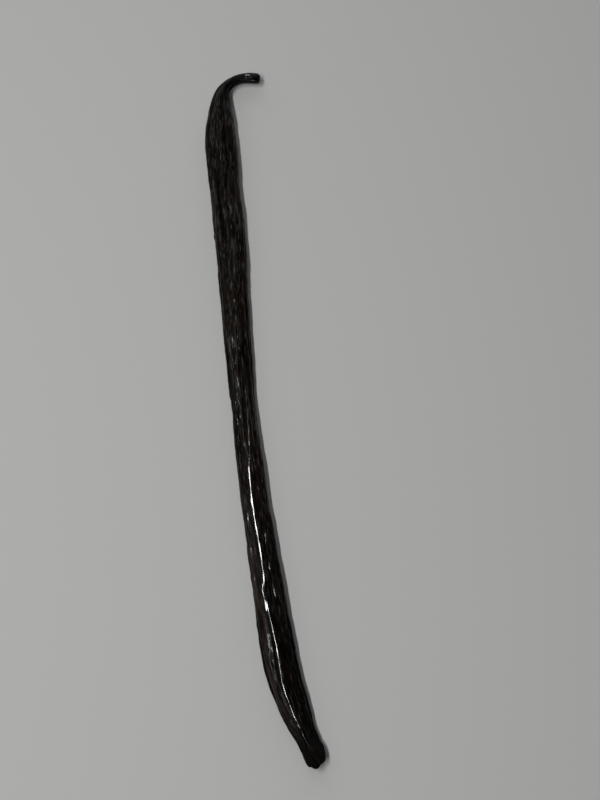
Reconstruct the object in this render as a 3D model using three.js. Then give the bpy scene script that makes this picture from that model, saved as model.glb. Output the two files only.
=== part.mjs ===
// A cured vanilla pod lying on its flattened underside, with a hooked stalk end and a blunt blossom end.
// Millimetres, +Z up. +Y runs from the blossom end towards the hook, +X to the right seen from above.
// The origin is on the surface the pod lies on, under the middle of its outline.
import * as THREE from 'three';

// The centreline starts at the blossom end, and every "along" below is a distance from there.
const podLength = 194.6;
const startX = 14.38;
const startY = -92.33;
const startHeading = 103.2;   // degrees anticlockwise from +X

// Where the centreline turns: the middle of each bend, the length it takes and its angle in degrees.
const bends = [
  { at: 2.2, over: 6.2, turn: 14 },      // nod of the blossom end
  { at: 18.9, over: 34, turn: -18 },     // lower curve
  { at: 89.1, over: 90, turn: -5 },      // long lean of the body
  { at: 135.1, over: 12, turn: 2 },      // slight kink above the middle
  { at: 171.1, over: 32, turn: -8.5 },   // shoulder
  { at: 185.9, over: 15.4, turn: -96 },  // hook of the stalk
];

// Size of the section: [along, breadth, height].
const girths = [
  [0, 5.0, 3.5],
  [2.5, 5.5, 3.7],
  [5, 5.3, 3.7],
  [8, 5.6, 3.9],
  [12, 6.9, 4.4],
  [17.5, 7.9, 4.8],
  [28, 8.5, 5.0],
  [42, 8.0, 4.9],
  [57, 7.3, 4.6],
  [72, 6.9, 4.4],
  [88, 6.4, 4.2],
  [104, 7.0, 4.4],
  [121, 7.5, 4.6],
  [132, 8.0, 4.8],
  [143, 8.7, 5.0],
  [152, 8.3, 4.9],
  [163, 8.9, 5.0],
  [171, 8.1, 4.8],
  [175.5, 6.9, 4.3],
  [180.4, 4.9, 3.6],
  [184.5, 3.2, 2.8],
  [188, 2.8, 2.6],
  [192.3, 2.9, 2.9],
  [194.6, 2.8, 2.7],
];

// How far the underside is off the surface: [along, gap].
const gaps = [
  [0, 0.5],
  [12, 0],
  [60, 0],
  [78, 0.3],
  [96, 0],
  [150, 0],
  [166, 0.1],
  [182, 0.9],
  [194.6, 1.5],
];

// The wandering crest on top: [along, place across from -1 at the left to 1 at the right, height].
const crests = [
  [4, -0.1, 0],
  [17, -0.28, 0.4],
  [29, -0.04, 0.5],
  [42, -0.28, 0.6],
  [52, -0.12, 0.5],
  [62, -0.22, 0.5],
  [72, -0.1, 0.5],
  [84, 0.26, 0.45],
  [92, 0.38, 0.4],
  [112, 0.3, 0.25],
  [132, 0, 0.15],
  [163, -0.12, 0.35],
  [182, 0, 0.2],
  [192, 0, 0],
];
const crestSpread = 0.3;      // half width of the crest, as a share of the half breadth
const crestFade = 1.6;        // the crest fades out down the sides, sooner the smaller this is

// Lengthwise folds in the skin. Pairs are the least and the most, and each fold lies between them.
const foldCount = 12;
const foldDepth = 0.42;
const foldRadius = 4.2;       // half breadth at which the folds have their full depth
const foldWidth = 0.18;       // radians round the section
const foldEdge = 1.6;         // 2 is a rounded crease, less is a sharper one
const foldStagger = 0.5;      // uneven spacing, as a share of the spacing
const foldWander = 0.2;       // radians that a fold strays in its long waves
const quickWander = 0.07;     // and in its short ones
const slowWave = [70, 110];
const quickWave = [24, 38];
const foldLength = [45, 83];  // how far a fold runs before it fades
const fadedDepth = 0.25;      // share of the depth left where a fold has faded
const fullDepth = 1.2;        // share of the depth where it is deepest
const endCalm = 9;            // the folds grow shallow this close to either end
const calmLead = 0.2;         // how much of that is already done at the very end
const fullness = 1.03;        // makes up for what the folds take off the outline

// Gentle swellings that keep the outline uneven, and how often each goes round the section.
const swellings = [
  { length: 14.5, share: 0.014, lobes: 1, shift: 1 },
  { length: 5.4, share: 0.008, lobes: 3, shift: 0 },
];

const squareness = 2.25;      // 2 is an ellipse, more is boxier
const undersideShare = 0.8;   // how much of the lower half height is kept above the flat underside
const undersideBlend = 0.35;  // radius that softens the edge of the flat

// The blossom end is cut off aslant and has a lobed lip round a shallow scar.
const tipSlant = 2.1;
const tipOffset = 0.2;        // where across the end it is longest, as a share to the left
const tipLobe = { depth: 0.16, count: 5, shift: 1.57 };
const tipReach = 6;           // how far the slant is felt along the pod

// The rings of that lip from the middle of the scar outwards: [along, share of the section].
// An along below 0 stands out past the start of the centreline.
const tipCap = [
  [0.5, 0],
  [0.35, 0.3],
  [-0.05, 0.58],
  [-0.4, 0.76],
  [-0.28, 0.9],
  [0.2, 1],
];

// The cut stalk is rounded off round a slight hollow: [setback from the end, share of the section].
const stalkCap = [
  [1.2, 1],
  [0.75, 0.95],
  [0.36, 0.83],
  [0.08, 0.62],
  [0, 0.4],
  [0.06, 0],
];

// Mesh fineness.
const sides = 44;
const rows = 116;
const endCrowding = 0.4;      // rows stand closer at both ends
const traceSteps = 2000;      // straight steps that the centreline is walked in

const skinColour = 0x1d1310;
const skinRoughness = 0.38;

const turn = Math.PI * 2;
const degrees = Math.PI / 180;
const scatterSteps = [127.1, 311.7];   // large unrelated numbers, so that no pattern shows
const scatterScale = 43758.5453;

// Rises from 0 to 1 and eases at both ends.
function ease(t) {
  const held = Math.min(1, Math.max(0, t));
  return held * held * (3 - 2 * held);
}

// A repeatable uneven number from 0 to 1 for one property of one fold.
function scatter(index, property) {
  const spun = Math.sin(index * scatterSteps[0] + property * scatterSteps[1]) * scatterScale;
  return spun - Math.floor(spun);
}

function between([least, most], index, property) {
  return least + (most - least) * scatter(index, property);
}

// A smooth curve through one column of a table, read at a distance along the pod.
function follow(table, column, along) {
  const last = table.length - 1;
  const slope = (i) => {
    const before = table[Math.max(i - 1, 0)];
    const after = table[Math.min(i + 1, last)];
    return (after[column] - before[column]) / (after[0] - before[0]);
  };
  if (along <= table[0][0]) return table[0][column];
  if (along >= table[last][0]) return table[last][column];
  let i = 0;
  while (table[i + 1][0] < along) i += 1;
  const span = table[i + 1][0] - table[i][0];
  const t = (along - table[i][0]) / span;
  const from = table[i][column];
  const to = table[i + 1][column];
  const rise = ease(t);
  const leave = t * (1 - t) * (1 - t) * span * slope(i);
  const arrive = t * t * (t - 1) * span * slope(i + 1);
  return from + (to - from) * rise + leave + arrive;
}

function headingAt(along) {
  let heading = startHeading;
  for (const bend of bends) {
    heading += bend.turn * ease((along - bend.at) / bend.over + 0.5);
  }
  return heading * degrees;
}

// Walks the centreline in short straight steps.
function traceCentreline() {
  const stride = podLength / traceSteps;
  const trace = [new THREE.Vector2(startX, startY)];
  for (let i = 0; i < traceSteps; i += 1) {
    const heading = headingAt((i + 0.5) * stride);
    const step = new THREE.Vector2(Math.cos(heading), Math.sin(heading)).multiplyScalar(stride);
    trace.push(trace[i].clone().add(step));
  }
  return trace;
}

const centreline = traceCentreline();

// Past either end the centreline runs on straight.
function centreAt(along) {
  const place = (along / podLength) * traceSteps;
  const i = Math.min(traceSteps - 1, Math.max(0, Math.floor(place)));
  return centreline[i].clone().lerp(centreline[i + 1], place - i);
}

// How much the folds draw the skin in at one spot, as a length.
function foldsAt(along, angle) {
  let drawnIn = 0;
  for (let i = 0; i < foldCount; i += 1) {
    const slow = (turn * along) / between(slowWave, i, 1) + turn * scatter(i, 2);
    const quick = (turn * along) / between(quickWave, i, 3) + turn * scatter(i, 4);
    const centre = (turn * (i + foldStagger * scatter(i, 5))) / foldCount
      + foldWander * Math.sin(slow) + quickWander * Math.sin(quick);
    const off = Math.atan2(Math.sin(angle - centre), Math.cos(angle - centre));
    const crease = Math.exp(-Math.pow(Math.abs(off) / foldWidth, foldEdge));
    const life = (1 + Math.sin((turn * along) / between(foldLength, i, 6) + turn * scatter(i, 7))) / 2;
    drawnIn += foldDepth * (fadedDepth + (fullDepth - fadedDepth) * life) * crease;
  }
  return drawnIn;
}

// One point of the skin. share shrinks the section towards its middle, for the ends.
function skinPoint(along, angle, share) {
  const halfBreadth = follow(girths, 1, along) / 2;
  const halfHeight = follow(girths, 2, along) / 2;
  const across = Math.cos(angle);
  const upward = Math.sin(angle);
  const outline = (Math.abs(across) ** squareness + Math.abs(upward) ** squareness) ** (-1 / squareness);
  let swollen = fullness;
  for (const { length, share: size, lobes, shift } of swellings) {
    swollen += size * Math.sin((turn * along) / length + lobes * angle + shift);
  }
  const calm = ease(along / endCalm + calmLead) * ease((podLength - along) / endCalm + calmLead);
  const folded = (foldsAt(along, angle) * calm) / foldRadius;
  const reach = outline * (swollen - folded) * share;
  const side = halfBreadth * across * reach;
  let height = halfHeight * upward * reach;

  const crestPlace = follow(crests, 1, along);
  const crestRise = follow(crests, 2, along) * ease(upward * crestFade) * share;
  height += crestRise * Math.exp(-(((side / halfBreadth - crestPlace) / crestSpread) ** 2));

  // The lower side is pressed flat where it meets the surface.
  const floor = -halfHeight * undersideShare;
  const above = height - floor;
  const pressed = Math.abs(above) < undersideBlend
    ? (above + undersideBlend) ** 2 / (4 * undersideBlend)
    : Math.max(0, above);
  const gap = Math.max(0, follow(gaps, 1, along));

  // The blossom end is longest left of its middle and leans back on its right side.
  const slant = tipSlant * ((across + tipOffset) / (1 + tipOffset)) ** 2
    + tipLobe.depth * Math.sin(tipLobe.count * angle + tipLobe.shift);
  const station = along + slant * share * (1 - ease(along / tipReach));

  const centre = centreAt(station);
  const heading = headingAt(station);
  return new THREE.Vector3(
    centre.x + side * Math.sin(heading),
    centre.y - side * Math.cos(heading),
    pressed + gap,
  );
}

// The rings of the mesh from end to end: [along, share of the section].
function ringPlaces() {
  const places = [...tipCap];
  const first = tipCap[tipCap.length - 1][0];
  const last = podLength - stalkCap[0][0];
  for (let i = 1; i < rows; i += 1) {
    const even = i / rows;
    const crowded = even - (endCrowding * Math.sin(turn * even)) / turn;
    places.push([first + (last - first) * crowded, 1]);
  }
  for (const [setback, share] of stalkCap) {
    places.push([podLength - setback, share]);
  }
  return places;
}

// Joins the rings into one closed skin with a single point in the middle of each end.
function makeSkin() {
  const places = ringPlaces();
  const positions = [];
  const triangles = [];
  const starts = [];
  for (const [along, share] of places) {
    starts.push(positions.length / 3);
    const count = share === 0 ? 1 : sides;
    for (let i = 0; i < count; i += 1) {
      positions.push(...skinPoint(along, (turn * i) / sides, share).toArray());
    }
  }
  for (let row = 0; row + 1 < places.length; row += 1) {
    for (let i = 0; i < sides; i += 1) {
      const next = (i + 1) % sides;
      const here = places[row][1] === 0 ? [starts[row]] : [starts[row] + i, starts[row] + next];
      const beyond = places[row + 1][1] === 0
        ? [starts[row + 1]]
        : [starts[row + 1] + i, starts[row + 1] + next];
      if (here.length === 2) triangles.push(here[0], beyond[0], here[1]);
      if (beyond.length === 2) triangles.push(here[here.length - 1], beyond[0], beyond[1]);
    }
  }
  const geometry = new THREE.BufferGeometry();
  geometry.setAttribute('position', new THREE.Float32BufferAttribute(positions, 3));
  geometry.setIndex(triangles);
  geometry.computeVertexNormals();
  return geometry;
}

function makePod() {
  const skin = new THREE.MeshStandardMaterial({
    color: skinColour,
    roughness: skinRoughness,
    metalness: 0,
  });
  const pod = new THREE.Mesh(makeSkin(), skin);
  pod.name = 'pod';
  return pod;
}

const model = new THREE.Group();
model.add(makePod());

export default model;
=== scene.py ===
import math

import bpy
import numpy as np
from mathutils import Matrix, Vector


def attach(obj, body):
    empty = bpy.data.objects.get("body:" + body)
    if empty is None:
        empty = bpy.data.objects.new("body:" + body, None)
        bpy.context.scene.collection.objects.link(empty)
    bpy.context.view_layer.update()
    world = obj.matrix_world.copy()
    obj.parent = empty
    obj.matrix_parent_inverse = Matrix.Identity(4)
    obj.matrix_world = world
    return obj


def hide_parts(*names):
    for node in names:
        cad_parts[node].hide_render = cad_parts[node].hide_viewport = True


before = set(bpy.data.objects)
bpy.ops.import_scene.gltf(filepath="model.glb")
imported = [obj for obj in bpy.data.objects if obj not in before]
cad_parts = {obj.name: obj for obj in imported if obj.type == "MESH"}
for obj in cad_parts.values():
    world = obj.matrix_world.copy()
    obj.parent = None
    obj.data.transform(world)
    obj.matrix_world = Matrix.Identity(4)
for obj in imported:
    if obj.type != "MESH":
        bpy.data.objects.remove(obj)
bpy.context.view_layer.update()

mm = 0.001
turn = 2 * math.pi

# The pod's own shape, in millimetres and degrees, as the solid has it.
# "along" is the distance from the blossom end, measured down the middle of the pod.
podForm = {
    "length": 194.6,
    "start": (14.38, -92.33),
    "heading": 103.2,
    # middle of the bend, length it takes, degrees it turns
    "bends": [
        (2.2, 6.2, 14),
        (18.9, 34, -18),
        (89.1, 90, -5),
        (135.1, 12, 2),
        (171.1, 32, -8.5),
        (185.9, 15.4, -96),
    ],
    "walkSteps": 2000,
    "runOn": 2,  # how far the middle line goes on past each end
    # along, breadth, height
    "girths": [
        (0, 5.0, 3.5),
        (2.5, 5.5, 3.7),
        (5, 5.3, 3.7),
        (8, 5.6, 3.9),
        (12, 6.9, 4.4),
        (17.5, 7.9, 4.8),
        (28, 8.5, 5.0),
        (42, 8.0, 4.9),
        (57, 7.3, 4.6),
        (72, 6.9, 4.4),
        (88, 6.4, 4.2),
        (104, 7.0, 4.4),
        (121, 7.5, 4.6),
        (132, 8.0, 4.8),
        (143, 8.7, 5.0),
        (152, 8.3, 4.9),
        (163, 8.9, 5.0),
        (171, 8.1, 4.8),
        (175.5, 6.9, 4.3),
        (180.4, 4.9, 3.6),
        (184.5, 3.2, 2.8),
        (188, 2.8, 2.6),
        (192.3, 2.9, 2.9),
        (194.6, 2.8, 2.7),
    ],
    # along, gap under the pod
    "gaps": [
        (0, 0.5),
        (12, 0),
        (60, 0),
        (78, 0.3),
        (96, 0),
        (150, 0),
        (166, 0.1),
        (182, 0.9),
        (194.6, 1.5),
    ],
    # along, place across from -1 left to 1 right, height
    "crests": [
        (4, -0.1, 0),
        (17, -0.28, 0.4),
        (29, -0.04, 0.5),
        (42, -0.28, 0.6),
        (52, -0.12, 0.5),
        (62, -0.22, 0.5),
        (72, -0.1, 0.5),
        (84, 0.26, 0.45),
        (92, 0.38, 0.4),
        (112, 0.3, 0.25),
        (132, 0, 0.15),
        (163, -0.12, 0.35),
        (182, 0, 0.2),
        (192, 0, 0),
    ],
    "crestSpread": 0.3,
    "crestFade": 1.6,
    "foldCount": 12,
    "foldDepth": 0.42,
    "foldRadius": 4.2,
    "foldWidth": 0.18,
    "foldEdge": 1.6,
    "foldStagger": 0.5,
    "foldWander": 0.2,
    "quickWander": 0.07,
    # shortest and longest wave along the pod
    "slowWave": (70, 110),
    "quickWave": (24, 38),
    "foldLength": (45, 83),
    "fadedDepth": 0.25,
    "fullDepth": 1.2,
    "endCalm": 9,
    "calmLead": 0.2,
    "fullness": 1.03,
    # length, share of the section, times round it, shift
    "swellings": [(14.5, 0.014, 1, 1), (5.4, 0.008, 3, 0)],
    "squareness": 2.25,
    "undersideShare": 0.8,
    "undersideBlend": 0.35,
    "tipSlant": 2.1,
    "tipOffset": 0.2,
    "tipLobe": (0.16, 5, 1.57),  # depth, count, shift
    "tipReach": 6,
    "scatterSteps": (127.1, 311.7),
    "scatterScale": 43758.5453,
}

# Relief too fine for the solid. Depths are in millimetres, "round" and "long" count the random cells
# round the pod and along it, and "draw" picks the random numbers.
fineRelief = {
    "seed": 41,
    "inset": 0.03,
    # radians by which the wrinkles and fibres wander
    "sways": [
        {"swing": 0.16, "round": 3, "long": 16, "draw": 1},
        {"swing": 0.05, "round": 6, "long": 60, "draw": 2},
    ],
    "wrinkles": [
        {"depth": 0.12, "sharpness": 0.15, "round": 17, "long": 12, "draw": 3},
        {"depth": 0.07, "sharpness": 0.2, "round": 31, "long": 26, "draw": 4},
    ],
    "fibres": [
        {"depth": 0.06, "round": 44, "long": 84, "draw": 11},
        {"depth": 0.035, "round": 72, "long": 170, "draw": 12},
    ],
    "pebblePatches": {"middle": 0.5, "contrast": 1.4, "round": 4, "long": 13, "draw": 15},
    "pebbles": {"depth": 0.055, "round": 30, "long": 190, "draw": 16},
    "dents": {"depth": 0.09, "round": 7, "long": 48, "draw": 17},
    "scarLumps": {"depth": 0.16, "reach": 3.4, "round": 11, "long": 90, "draw": 21},
    "scarPits": {"depth": 0.22, "round": 16, "long": 1, "draw": 22},
    # thin stretches keep only a part of the relief
    "leastShare": 0.35,
    "fullHalfHeight": 2.5,
    # how much folds and finer wrinkles count towards a crease, which the colour darkens with painted shade
    "foldPart": 0.55,
    "wrinklePart": 0.45,
    "creaseDepth": 0.2,
}

# The crest is flattened to a narrow, polished facet that leans to the left.
crestFacet = {
    "lean": 10,  # degrees
    "depth": 0.012,
    "blend": 0.01,
    "smoothing": 9,  # rings
    "breaks": {"round": 3, "long": 60, "draw": 31},
    "runIn": (0, 12),
    "runOut": (84, 104),
    # along, extra depth, length
    "knots": [
        (80, 0.03, 1.0),
        (66, 0.008, 8),
        (59, 0.04, 1.6),
        (53.5, 0.045, 2.2),
        (46.7, 0.04, 1.2),
    ],
    # share of the finer relief that the crest loses, and how wide and how soon it loses it
    "calm": 0.7,
    "calmBreadth": 0.5,
    "calmEdge": 4,
    "calmRise": 2.5,
}

# Rings of the skin. The caps give the rounded ends: distance in from the end, share of the section.
podMesh = {
    "sides": 168,
    "rows": 560,
    "endCrowding": 0.3,
    "tipCap": [
        (0.5, 0),
        (0.47, 0.12),
        (0.35, 0.3),
        (0.17, 0.44),
        (-0.05, 0.58),
        (-0.27, 0.68),
        (-0.4, 0.76),
        (-0.38, 0.84),
        (-0.28, 0.9),
        (-0.08, 0.96),
        (0.2, 1),
    ],
    "stalkCap": [
        (1.2, 1),
        (0.98, 0.985),
        (0.75, 0.95),
        (0.55, 0.9),
        (0.36, 0.83),
        (0.2, 0.735),
        (0.08, 0.62),
        (0.02, 0.52),
        (0, 0.4),
        (0.03, 0.2),
        (0.06, 0),
    ],
    "textureRadius": 3.3,
}


def ease(t):
    held = np.clip(t, 0, 1)
    return held * held * (3 - 2 * held)


# Nothing below zero, the value itself above it, and a soft bend between.
def softPositive(value, blend):
    return np.where(np.abs(value) < blend, (value + blend) ** 2 / (4 * blend), np.maximum(0, value))


def scatter(index, prop):
    steps = podForm["scatterSteps"]
    spun = math.sin(index * steps[0] + prop * steps[1]) * podForm["scatterScale"]
    return spun - math.floor(spun)


def between(span, index, prop):
    return span[0] + (span[1] - span[0]) * scatter(index, prop)


# Smooth curve through one column of a table.
def follow(table, column, along):
    rows = np.array(table, float)
    at, value = rows[:, 0], rows[:, column]
    before = np.maximum(np.arange(len(at)) - 1, 0)
    after = np.minimum(np.arange(len(at)) + 1, len(at) - 1)
    slope = (value[after] - value[before]) / (at[after] - at[before])
    held = np.clip(along, at[0], at[-1])
    i = np.clip(np.searchsorted(at, held) - 1, 0, len(at) - 2)
    span = at[i + 1] - at[i]
    t = (held - at[i]) / span
    leave = t * (1 - t) ** 2 * span * slope[i]
    arrive = t * t * (t - 1) * span * slope[i + 1]
    return value[i] + (value[i + 1] - value[i]) * ease(t) + leave + arrive


def headingAt(along):
    heading = np.full_like(along, podForm["heading"])
    for middle, over, degrees in podForm["bends"]:
        heading += degrees * ease((along - middle) / over + 0.5)
    return np.radians(heading)


# Middle of the pod at each distance along it, walked in short steps. It runs on straight past both ends.
def centreAt(along):
    steps = podForm["walkSteps"]
    runOn = podForm["runOn"]
    stride = podForm["length"] / steps
    heading = np.pad(headingAt((np.arange(steps) + 0.5) * stride), 1, mode="edge")
    strides = np.pad(np.full(steps, stride), 1, constant_values=runOn)
    marks = np.concatenate([[0], np.cumsum(strides)]) - runOn
    x = np.concatenate([[0], np.cumsum(np.cos(heading) * strides)])
    y = np.concatenate([[0], np.cumsum(np.sin(heading) * strides)])
    startX, startY = podForm["start"]
    return np.interp(along, marks, x - x[1] + startX), np.interp(along, marks, y - y[1] + startY)


# Depth of the big lengthwise folds.
def foldsAt(along, angle):
    form = podForm
    drawnIn = np.zeros_like(along)
    for i in range(form["foldCount"]):
        slow = turn * along / between(form["slowWave"], i, 1) + turn * scatter(i, 2)
        quick = turn * along / between(form["quickWave"], i, 3) + turn * scatter(i, 4)
        centre = turn * (i + form["foldStagger"] * scatter(i, 5)) / form["foldCount"]
        centre = centre + form["foldWander"] * np.sin(slow) + form["quickWander"] * np.sin(quick)
        off = np.arctan2(np.sin(angle - centre), np.cos(angle - centre))
        crease = np.exp(-(np.abs(off) / form["foldWidth"]) ** form["foldEdge"])
        life = (1 + np.sin(turn * along / between(form["foldLength"], i, 6) + turn * scatter(i, 7))) / 2
        strength = form["fadedDepth"] + (form["fullDepth"] - form["fadedDepth"]) * life
        drawnIn += form["foldDepth"] * strength * crease
    return drawnIn


# Smooth random values from -1 to 1 that join up round the pod.
def grainAt(along, angle, layer):
    around, lengthwise = layer["round"], layer["long"]
    numbers = np.random.default_rng(fineRelief["seed"] + layer["draw"])
    lattice = numbers.uniform(-1, 1, (around, lengthwise + 2))
    u = (angle / turn * around) % around
    v = np.clip(along / podForm["length"], 0, 1) * lengthwise
    i, j = np.floor(u).astype(int), np.floor(v).astype(int)
    s, t = ease(u - i), ease(v - j)
    i, beyond = i % around, (i + 1) % around
    near = lattice[i, j] * (1 - s) + lattice[beyond, j] * s
    far = lattice[i, j + 1] * (1 - s) + lattice[beyond, j + 1] * s
    return near * (1 - t) + far * t


# Depth of everything finer than the folds.
def finesAt(along, angle):
    sway = np.zeros_like(along)
    for layer in fineRelief["sways"]:
        sway += layer["swing"] * grainAt(along, angle, layer)
    drawnIn = np.zeros_like(along)
    for layer in fineRelief["wrinkles"]:
        waves = grainAt(along, angle + sway, layer)
        drawnIn += layer["depth"] * np.exp(-(waves / layer["sharpness"]) ** 2)
    for layer in fineRelief["fibres"]:
        drawnIn += layer["depth"] * grainAt(along, angle + sway, layer)
    patches = fineRelief["pebblePatches"]
    pebbles = fineRelief["pebbles"]
    where = ease(patches["middle"] + patches["contrast"] * grainAt(along, angle, patches))
    drawnIn += pebbles["depth"] * where * grainAt(along, angle, pebbles)
    dents = fineRelief["dents"]
    drawnIn += dents["depth"] * np.maximum(0, grainAt(along, angle, dents)) ** 2
    return drawnIn


def facetFade(along):
    start, full = crestFacet["runIn"]
    fading, end = crestFacet["runOut"]
    return ease((along - start) / (full - start)) * ease((end - along) / (end - fading))


# Presses the highest part of each ring to a leaning facet, and says how polished each point gets.
def pressFacet(along, share, side, height):
    facet = crestFacet
    lean = math.radians(facet["lean"])
    body = share == 1
    reach = height[body] * math.cos(lean) - side[body] * math.sin(lean)
    rings, ringOf = np.unique(along[body], return_inverse=True)
    highest = np.full(len(rings), -np.inf)
    np.maximum.at(highest, ringOf, reach)
    window = np.hanning(facet["smoothing"] + 2)[1:-1]
    padded = np.pad(highest, facet["smoothing"] // 2, mode="edge")
    level = np.convolve(padded, window / window.sum(), mode="valid")
    depth = facet["depth"] * (1 + grainAt(rings, np.zeros_like(rings), facet["breaks"]))
    for middle, extra, length in facet["knots"]:
        depth += extra * np.exp(-((rings - middle) / length) ** 2)
    over = reach - (level - depth)[ringOf]
    pressed = np.zeros_like(along)
    pressed[body] = softPositive(over, facet["blend"]) * facetFade(rings)[ringOf]
    polish = np.clip(pressed / facet["blend"], 0, 1)
    return side + pressed * math.sin(lean), height - pressed * math.cos(lean), polish


# The section's reach at each point: a squarish oval that swells a little along the pod.
def ringReach(along, angle, folds, share):
    form = podForm
    power = form["squareness"]
    outline = (np.abs(np.cos(angle)) ** power + np.abs(np.sin(angle)) ** power) ** (-1 / power)
    swollen = form["fullness"]
    for length, size, lobes, shift in form["swellings"]:
        swollen = swollen + size * np.sin(turn * along / length + lobes * angle + shift)
    return outline * (swollen - folds / form["foldRadius"]) * share


# Wrinkles and fibres, calmer on thin stretches and on the crest, with lumps round the blossom scar.
def relieveSkin(along, angle, halfHeight, onCrest):
    least = fineRelief["leastShare"]
    kept = least + (1 - least) * halfHeight / fineRelief["fullHalfHeight"]
    calmed = 1 - crestFacet["calm"] * onCrest * facetFade(along)
    lumps = fineRelief["scarLumps"]
    nearScar = 1 - ease(along / lumps["reach"])
    fines = finesAt(along, angle) * kept * calmed
    return fines + lumps["depth"] * nearScar * grainAt(along, angle, lumps)


# How far the slanted, lobed face of the blossom end stands back at each point.
def tipSetback(along, angle, share):
    form = podForm
    offset = form["tipOffset"]
    depth, count, shift = form["tipLobe"]
    slant = form["tipSlant"] * ((np.cos(angle) + offset) / (1 + offset)) ** 2
    slant = slant + depth * np.sin(count * angle + shift)
    pits = fineRelief["scarPits"]
    slant = slant + pits["depth"] * (1 + grainAt(along, angle, pits)) / 2
    return slant * share * (1 - ease(along / form["tipReach"]))


# Points of the skin in millimetres, how deep in a crease each one lies, and how polished it is.
def skinPoints(along, angle, share):
    form = podForm
    facet = crestFacet
    halfBreadth = follow(form["girths"], 1, along) / 2
    halfHeight = follow(form["girths"], 2, along) / 2
    across, upward = np.cos(angle), np.sin(angle)
    calm = ease(along / form["endCalm"] + form["calmLead"])
    calm = calm * ease((form["length"] - along) / form["endCalm"] + form["calmLead"])
    folds = foldsAt(along, angle) * calm
    reach = ringReach(along, angle, folds, share)

    crestPlace = follow(form["crests"], 1, along)
    crestRise = follow(form["crests"], 2, along) * ease(upward * form["crestFade"])
    fromCrest = (across * reach - crestPlace) / form["crestSpread"]
    onCrest = np.exp(-(fromCrest / facet["calmBreadth"]) ** facet["calmEdge"])
    onCrest = onCrest * np.clip(crestRise * facet["calmRise"], 0, 1)
    fines = relieveSkin(along, angle, halfHeight, onCrest)
    inset = (fines + fineRelief["inset"]) * share
    side = across * (halfBreadth * reach - inset)
    height = upward * (halfHeight * reach - inset)
    crest = np.exp(-((side / halfBreadth - crestPlace) / form["crestSpread"]) ** 2)
    height = height + crestRise * share * crest
    side, height, polish = pressFacet(along, share, side, height)

    lowest = -halfHeight * form["undersideShare"]
    gap = np.maximum(0, follow(form["gaps"], 1, along))
    above = softPositive(height - lowest, form["undersideBlend"]) + gap

    station = along + tipSetback(along, angle, share)
    x, y = centreAt(station)
    heading = headingAt(station)
    points = np.stack([x + side * np.sin(heading), y - side * np.cos(heading), above], axis=-1)
    inFold = folds / form["foldDepth"] * fineRelief["foldPart"]
    inWrinkle = fines / fineRelief["creaseDepth"] * fineRelief["wrinklePart"]
    return points, np.clip(inFold + inWrinkle, 0, 1), polish


def ringPlaces():
    tipCap, stalkCap = podMesh["tipCap"], podMesh["stalkCap"]
    first = tipCap[-1][0]
    last = podForm["length"] - stalkCap[0][0]
    even = np.arange(1, podMesh["rows"]) / podMesh["rows"]
    crowded = even - podMesh["endCrowding"] * np.sin(turn * even) / turn
    places = list(tipCap)
    places += [(first + (last - first) * place, 1) for place in crowded]
    places += [(podForm["length"] - setback, share) for setback, share in stalkCap]
    return places


# Four-sided faces between the rings, and a fan of triangles round the point at each end.
def podFaces(places):
    sides = podMesh["sides"]
    faces = []
    start = 0
    for (_, share), (_, nextShare) in zip(places, places[1:]):
        for i in range(sides):
            j = (i + 1) % sides
            if not share:
                faces.append((start, start + 1 + i, start + 1 + j))
            elif not nextShare:
                faces.append((start + i, start + sides, start + j))
            else:
                faces.append((start + i, start + sides + i, start + sides + j, start + j))
        start += sides if share else 1
    return faces


# One closed skin from end to end, with the values that its finish is worked out from.
def makePod():
    places = ringPlaces()
    spots = []
    for place, share in places:
        count = podMesh["sides"] if share else 1
        spots += [(place, share, turn * i / podMesh["sides"]) for i in range(count)]
    along, share, angle = np.array(spots, float).T
    points, crease, polish = skinPoints(along, angle, share)
    faces = podFaces(places)
    mesh = bpy.data.meshes.new("pod_skin")
    mesh.from_pydata((points * mm).tolist(), [], faces)
    mesh.polygons.foreach_set("use_smooth", [True] * len(faces))

    # the pod laid straight: across, along, upward
    radius = podMesh["textureRadius"]
    straight = np.stack([radius * np.cos(angle) * share, along, radius * np.sin(angle) * share], axis=-1)
    lie = mesh.attributes.new("lie", "FLOAT_VECTOR", "POINT")
    lie.data.foreach_set("vector", straight.astype(np.float32).ravel())
    for name, values in (("crease", crease), ("polish", polish)):
        measure = mesh.attributes.new(name, "FLOAT", "POINT")
        measure.data.foreach_set("value", values.astype(np.float32))
    pod = bpy.data.objects.new("pod_skin", mesh)
    bpy.context.collection.objects.link(pod)
    return pod


# Shader helpers
def addNode(tree, kind, **settings):
    node = tree.nodes.new(kind)
    for name, value in settings.items():
        setattr(node, name, value)
    return node


# Links a socket, or sets a plain value.
def feed(tree, socket, value):
    if isinstance(value, bpy.types.NodeSocket):
        tree.links.new(value, socket)
    else:
        socket.default_value = value


def newGroup(name, inputs, outputs):
    group = bpy.data.node_groups.new(name, "ShaderNodeTree")
    for label, kind, default in inputs:
        socket = group.interface.new_socket(label, in_out="INPUT", socket_type=kind)
        socket.default_value = default
    for label, kind in outputs:
        group.interface.new_socket(label, in_out="OUTPUT", socket_type=kind)
    return group, group.nodes.new("NodeGroupInput"), group.nodes.new("NodeGroupOutput")


def mixColours(tree, factor, first, second):
    node = addNode(tree, "ShaderNodeMix", data_type="RGBA")
    feed(tree, node.inputs["Factor"], factor)
    colourInputs = [socket for socket in node.inputs if socket.type == "RGBA"]
    for socket, colour in zip(colourInputs, (first, second)):
        feed(tree, socket, (*colour, 1) if isinstance(colour, tuple) else colour)
    return [socket for socket in node.outputs if socket.type == "RGBA"][0]


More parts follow.
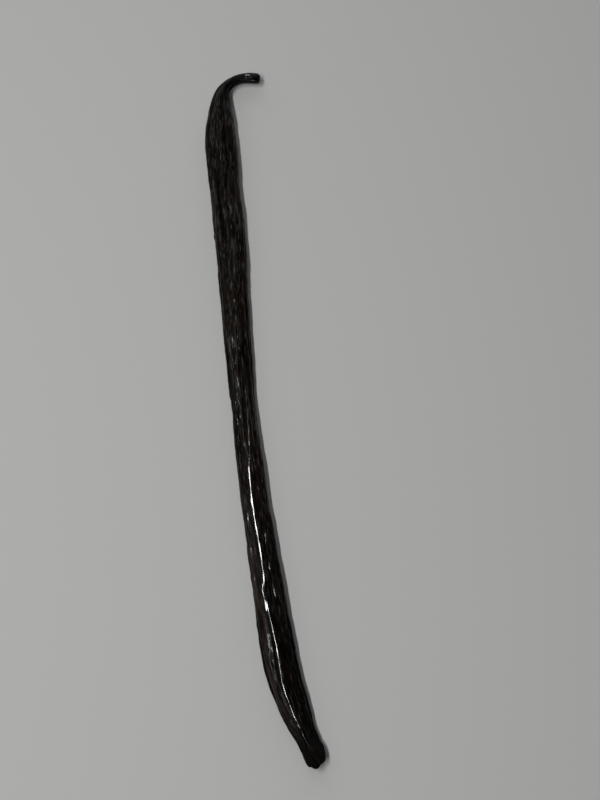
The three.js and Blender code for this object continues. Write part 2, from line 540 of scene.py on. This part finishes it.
def mixValues(tree, factor, first, second):
    node = addNode(tree, "ShaderNodeMix", data_type="FLOAT")
    for label, value in (("Factor", factor), ("A", first), ("B", second)):
        feed(tree, node.inputs[label], value)
    return node.outputs["Result"]


def multiply(tree, first, *others):
    product = first
    for value in others:
        node = addNode(tree, "ShaderNodeMath", operation="MULTIPLY")
        feed(tree, node.inputs[0], product)
        feed(tree, node.inputs[1], value)
        product = node.outputs[0]
    return product


# The value times the scale, plus the base.
def addScaled(tree, value, scale, base):
    node = addNode(tree, "ShaderNodeMath", operation="MULTIPLY_ADD")
    for socket, given in zip(node.inputs, (value, scale, base)):
        feed(tree, socket, given)
    return node.outputs[0]


def rangeMap(tree, value, low, high, toLow=0, toHigh=1):
    node = addNode(tree, "ShaderNodeMapRange", clamp=True)
    feed(tree, node.inputs["Value"], value)
    for label, number in (("From Min", low), ("From Max", high), ("To Min", toLow), ("To Max", toHigh)):
        node.inputs[label].default_value = number
    return node.outputs["Result"]


streakNoise = {
    "detail": 3,
    "roughness": 0.55,
}


# Long streaks that run with the pod.
def makeStreaksGroup():
    group, given, result = newGroup(
        "podStreaks",
        [("Place", "NodeSocketVector", (0, 0, 0)), ("Width", "NodeSocketFloat", 0.4),
         ("Stretch", "NodeSocketFloat", 12), ("Shift", "NodeSocketFloat", 0),
         ("Low", "NodeSocketFloat", 0.35), ("High", "NodeSocketFloat", 0.65)],
        [("Streak", "NodeSocketFloat")])
    link = group.links.new
    squash = addNode(group, "ShaderNodeMath", operation="DIVIDE")
    squash.inputs[0].default_value = 1
    link(given.outputs["Stretch"], squash.inputs[1])
    ratio = addNode(group, "ShaderNodeCombineXYZ")
    ratio.inputs["X"].default_value = 1
    ratio.inputs["Z"].default_value = 1
    link(squash.outputs[0], ratio.inputs["Y"])
    longways = addNode(group, "ShaderNodeVectorMath", operation="MULTIPLY")
    link(given.outputs["Place"], longways.inputs[0])
    link(ratio.outputs[0], longways.inputs[1])
    fineness = addNode(group, "ShaderNodeMath", operation="DIVIDE")
    fineness.inputs[0].default_value = 1
    link(given.outputs["Width"], fineness.inputs[1])
    noise = addNode(group, "ShaderNodeTexNoise", noise_dimensions="4D")
    noise.inputs["Detail"].default_value = streakNoise["detail"]
    noise.inputs["Roughness"].default_value = streakNoise["roughness"]
    link(longways.outputs[0], noise.inputs["Vector"])
    link(fineness.outputs[0], noise.inputs["Scale"])
    link(given.outputs["Shift"], noise.inputs["W"])
    spread = addNode(group, "ShaderNodeMapRange", interpolation_type="SMOOTHSTEP")
    link(noise.outputs["Fac"], spread.inputs["Value"])
    link(given.outputs["Low"], spread.inputs["From Min"])
    link(given.outputs["High"], spread.inputs["From Max"])
    link(spread.outputs["Result"], result.inputs["Streak"])
    return group


# Oily, nearly black skin with mahogany streaks, with painted sheen, painted highlights and painted shade in
# its colour.
skinLook = {
    "black": (0.0028, 0.0022, 0.0020),
    "brown": (0.018, 0.0120, 0.0090),
    "rust": (0.046, 0.0150, 0.0070),
    # light dashes: partly the fibres' own colour, partly painted glints
    "fibreAndGlint": (0.080, 0.070, 0.060),
    # painted grey sheen, standing in for a soft reflection on the upper part of the pod
    "paintedSheen": (0.075, 0.069, 0.064),
    # painted highlights along the ridges in the middle of the pod
    "ridgeHighlight": (0.085, 0.078, 0.066),
    # painted sheen on the left flank
    "paintedFlankSheen": (0.044, 0.032, 0.027),
    # painted shade in the creases; both ends are also darkened towards this colour
    "creaseShadeAndEndDark": (0.0008, 0.0007, 0.0006),
    "creaseRange": (0.3, 0.85),
    # width in millimetres, stretch along the pod, shift, noise where a streak starts and where it is full
    "streaks": {
        "zones": (5.0, 5.0, 1.3, 0.42, 0.66),
        "fine": (0.36, 7, 4.1, 0.40, 0.66),
        "rust": (0.6, 9, 7.7, 0.5, 0.68),
        "sheenPatches": (3.4, 5, 52.1, 0.38, 0.6),
        "paintedSheen": (0.5, 14, 43.9, 0.49, 0.70),
        "fibreGlintDashes": (0.30, 9, 31.3, 0.56, 0.66),
        "ridgeHighlightLines": (0.75, 30, 71.3, 0.55, 0.64),
        "paintedFlankSheen": (0.7, 10, 61.7, 0.36, 0.66),
        "satin": (0.5, 9, 15.8, 0.3, 0.7),
        "oilPatches": (2.6, 6, 11.2, 0.36, 0.6),
        "oilDashes": (0.45, 6, 17.9, 0.45, 0.62),
        "threads": (0.3, 12, 21.4, 0.25, 0.75),
        "ripples": (0.55, 1.2, 25.6, 0.3, 0.7),
    },
    # across the pod: from and to in millimetres, share at each
    "flankOuter": ((-3.28, -2.85), (0, 1)),
    "flankInner": ((-2.3, -1.0), (1, 0)),
    # along the pod: from and to in millimetres, share at each
    "flankStart": ((8, 16), (0, 1)),
    "flankEnd": ((54, 68), (1, 0)),
    "blossomShade": ((6, 75), (0.25, 1)),
    "stalkShade": ((168, 184), (1, 0.25)),
    "rustFade": ((70, 125), (1, 0.4)),
    "sheenFade": ((118, 134), (0, 1)),
    "ridgeHighlightStart": ((76, 86), (0, 1)),
    "ridgeHighlightEnd": ((106, 116), (1, 0)),
    "blossomDull": ((10, 45), (0, 1)),
    "tipDull": ((3, 11), (0, 1)),
    "satinRough": (0.22, 0.38),
    "polishedRough": 0.16,
    "tipRough": 0.75,
    "specular": 0.08,
    "oilCoat": 0.38,
    "coatRoughness": 0.12,
    "coatIndex": 1.85,
    "rippleShare": 0.4,
    "bumpStrength": 0.7,
    "bumpDistance": 0.00004,  # metres
}


def makeSkinMaterial(streaksGroup):
    look = skinLook
    material = bpy.data.materials.new("podSkin")
    material.use_nodes = True
    tree = material.node_tree
    link = tree.links.new
    shader = tree.nodes["Principled BSDF"]
    lie = addNode(tree, "ShaderNodeAttribute", attribute_name="lie").outputs["Vector"]
    crease = addNode(tree, "ShaderNodeAttribute", attribute_name="crease").outputs["Fac"]
    polish = addNode(tree, "ShaderNodeAttribute", attribute_name="polish").outputs["Fac"]
    parts = addNode(tree, "ShaderNodeSeparateXYZ")
    link(lie, parts.inputs[0])
    across, along = parts.outputs["X"], parts.outputs["Y"]

    def streaks(name):
        node = addNode(tree, "ShaderNodeGroup", node_tree=streaksGroup)
        for label, value in zip(("Width", "Stretch", "Shift", "Low", "High"), look["streaks"][name]):
            node.inputs[label].default_value = value
        link(lie, node.inputs["Place"])
        return node.outputs["Streak"]

    def fade(place, name):
        ends, shares = look[name]
        return rangeMap(tree, place, *ends, *shares)

    # colour: broad zones, then streaks, light dashes that are partly painted glints, painted sheen and
    # painted ridge highlights, then painted shade in the creases and a painted sheen on the left flank
    ground = mixColours(tree, streaks("fine"), look["black"], look["brown"])
    rusty = multiply(tree, streaks("zones"), streaks("rust"), fade(along, "rustFade"))
    tinted = mixColours(tree, rusty, ground, look["rust"])
    # painted grey sheen on the upper part of the pod
    sheenMask = multiply(tree, streaks("sheenPatches"), streaks("paintedSheen"), fade(along, "sheenFade"))
    sheened = mixColours(tree, sheenMask, tinted, look["paintedSheen"])
    # light dashes, partly fibre colour and partly painted glints
    fibreGlinted = mixColours(tree, streaks("fibreGlintDashes"), sheened, look["fibreAndGlint"])
    # painted highlight lines on the ridges in the middle of the pod
    ridgeHighlightLines = multiply(tree, fade(along, "ridgeHighlightStart"), fade(along, "ridgeHighlightEnd"), streaks("ridgeHighlightLines"))
    ridgeHighlighted = mixColours(tree, ridgeHighlightLines, fibreGlinted, look["ridgeHighlight"])
    # painted shade in the creases
    creaseShaded = mixColours(tree, rangeMap(tree, crease, *look["creaseRange"]), ridgeHighlighted, look["creaseShadeAndEndDark"])
    # darker towards both ends
    shade = multiply(tree, fade(along, "blossomShade"), fade(along, "stalkShade"))
    shaded = mixColours(tree, shade, look["creaseShadeAndEndDark"], creaseShaded)
    # painted sheen on the left flank, not wear
    onFlank = multiply(tree, fade(across, "flankOuter"), fade(across, "flankInner"))
    flankPart = multiply(tree, fade(along, "flankStart"), fade(along, "flankEnd"))
    flankSheen = multiply(tree, onFlank, flankPart, streaks("paintedFlankSheen"))
    link(mixColours(tree, flankSheen, shaded, look["paintedFlankSheen"]), shader.inputs["Base Color"])

    # gloss: satin streaks, oily patches and the polished crest, all dulled at the blossom end
    fromTip = fade(along, "tipDull")
    rough = rangeMap(tree, streaks("satin"), 0, 1, *look["satinRough"])
    smoothed = mixValues(tree, polish, rough, look["polishedRough"])
    link(mixValues(tree, fromTip, look["tipRough"], smoothed), shader.inputs["Roughness"])
    oil = multiply(tree, streaks("oilPatches"), streaks("oilDashes"), fade(along, "blossomDull"))
    glossy = mixValues(tree, polish, rangeMap(tree, oil, 0, 1, 0, look["oilCoat"]), 1)
    link(multiply(tree, glossy, fromTip), shader.inputs["Coat Weight"])
    shader.inputs["Coat Roughness"].default_value = look["coatRoughness"]
    shader.inputs["Coat IOR"].default_value = look["coatIndex"]
    shader.inputs["Specular IOR Level"].default_value = look["specular"]

    # relief finer than the mesh
    bump = addNode(tree, "ShaderNodeBump")
    bump.inputs["Strength"].default_value = look["bumpStrength"]
    bump.inputs["Distance"].default_value = look["bumpDistance"]
    link(addScaled(tree, streaks("ripples"), look["rippleShare"], streaks("threads")), bump.inputs["Height"])
    link(bump.outputs["Normal"], shader.inputs["Normal"])
    return material


pod = makePod()
print("pod made,", len(pod.data.polygons), "faces")

skin = makeSkinMaterial(makeStreaksGroup())
pod.data.materials.append(skin)
print("skin finished,", len(skin.node_tree.nodes), "nodes")

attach(pod, "root")
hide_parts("pod")

# Camera where the photograph was taken from, nearly overhead. Places are in metres.
photoCamera = {
    "spot": (0.010041, -0.08428, 0.2930),
    "tilt": 15.8,
    "lens": 52.65,
    "clipStart": 0.01,
}


def makeCamera():
    data = bpy.data.cameras.new("photoCamera")
    data.lens = photoCamera["lens"]
    data.clip_start = photoCamera["clipStart"]
    camera = bpy.data.objects.new("photoCamera", data)
    camera.location = photoCamera["spot"]
    camera.rotation_euler = (math.radians(photoCamera["tilt"]), 0, 0)
    bpy.context.collection.objects.link(camera)
    bpy.context.scene.camera = camera


studio = {
    "floorReach": 4,
    "floorColour": (0.88, 0.88, 0.87),
    "floorRoughness": 0.85,
    "floorSpecular": 0.2,
    # metres from the middle where the glow of the far floor starts and is full
    "glowReach": (0.22, 1.0),
    "glowColour": (0.32, 0.32, 0.316),
    # strength of the white surroundings as a light, and as the camera sees them
    "ambient": 0.035,
    "backdrop": 0.35,
    # name, place, aim, which way the length runs, breadth, length, watts
    "lights": [
        ("crestStrip", (-0.1956, -0.11, 0.57), (0.0064, -0.11, 0), (-0.16, 1, 0), 0.034, 0.5, 1.385),
        ("farSoftbox", (-0.1, 0.75, 0.26), (0, 0, 0), (0, 0, 1), 1.8, 0.5, 1.8),
        ("leftSoftbox", (-0.55, -0.05, 0.40), (0, -0.03, 0), (0, 1, 0), 0.3, 0.34, 0.12),
        ("upperSoftbox", (-0.12, 0.50, 0.60), (0, 0.06, 0), (1, 0, 0), 0.3, 0.45, 0.2),
    ],
}


def makeFloorPaint():
    paint = bpy.data.materials.new("paleFloor")
    paint.use_nodes = True
    tree = paint.node_tree
    shader = tree.nodes["Principled BSDF"]
    shader.inputs["Base Color"].default_value = (*studio["floorColour"], 1)
    shader.inputs["Roughness"].default_value = studio["floorRoughness"]
    shader.inputs["Specular IOR Level"].default_value = studio["floorSpecular"]
    # a faint glow keeps the floor pale out to the backdrop
    distance = addNode(tree, "ShaderNodeVectorMath", operation="LENGTH")
    tree.links.new(addNode(tree, "ShaderNodeTexCoord").outputs["Object"], distance.inputs[0])
    far = rangeMap(tree, distance.outputs["Value"], *studio["glowReach"])
    glow = mixColours(tree, far, (0, 0, 0), studio["glowColour"])
    tree.links.new(glow, shader.inputs["Emission Color"])
    shader.inputs["Emission Strength"].default_value = 1
    return paint


def makeFloor():
    reach = studio["floorReach"]
    corners = [(-reach, -reach, 0), (reach, -reach, 0), (reach, reach, 0), (-reach, reach, 0)]
    mesh = bpy.data.meshes.new("studio_floor")
    mesh.from_pydata(corners, [], [(0, 1, 2, 3)])
    mesh.materials.append(makeFloorPaint())
    floor = bpy.data.objects.new("studio_floor", mesh)
    bpy.context.collection.objects.link(floor)


def makeSurroundings():
    world = bpy.data.worlds.new("studioWorld")
    world.use_nodes = True
    tree = world.node_tree
    sky = tree.nodes["Background"]
    seen = addNode(tree, "ShaderNodeLightPath").outputs["Is Camera Ray"]
    strength = rangeMap(tree, seen, 0, 1, studio["ambient"], studio["backdrop"])
    tree.links.new(strength, sky.inputs["Strength"])
    sky.inputs["Color"].default_value = (1, 1, 1, 1)
    bpy.context.scene.world = world
    bpy.context.scene.view_settings.view_transform = "Standard"


def makeLights():
    for name, place, aim, run, breadth, length, watts in studio["lights"]:
        data = bpy.data.lights.new(name, "AREA")
        data.shape = "RECTANGLE"
        data.size = breadth
        data.size_y = length
        data.energy = watts
        lamp = bpy.data.objects.new(name, data)
        away = (Vector(place) - Vector(aim)).normalized()
        breadthways = Vector(run).cross(away).normalized()
        lengthways = away.cross(breadthways)
        turned = Matrix((breadthways, lengthways, away)).transposed()
        lamp.matrix_world = Matrix.Translation(place) @ turned.to_4x4()
        bpy.context.collection.objects.link(lamp)


makeCamera()
makeFloor()
makeSurroundings()
makeLights()
print("camera, floor and lights in place")
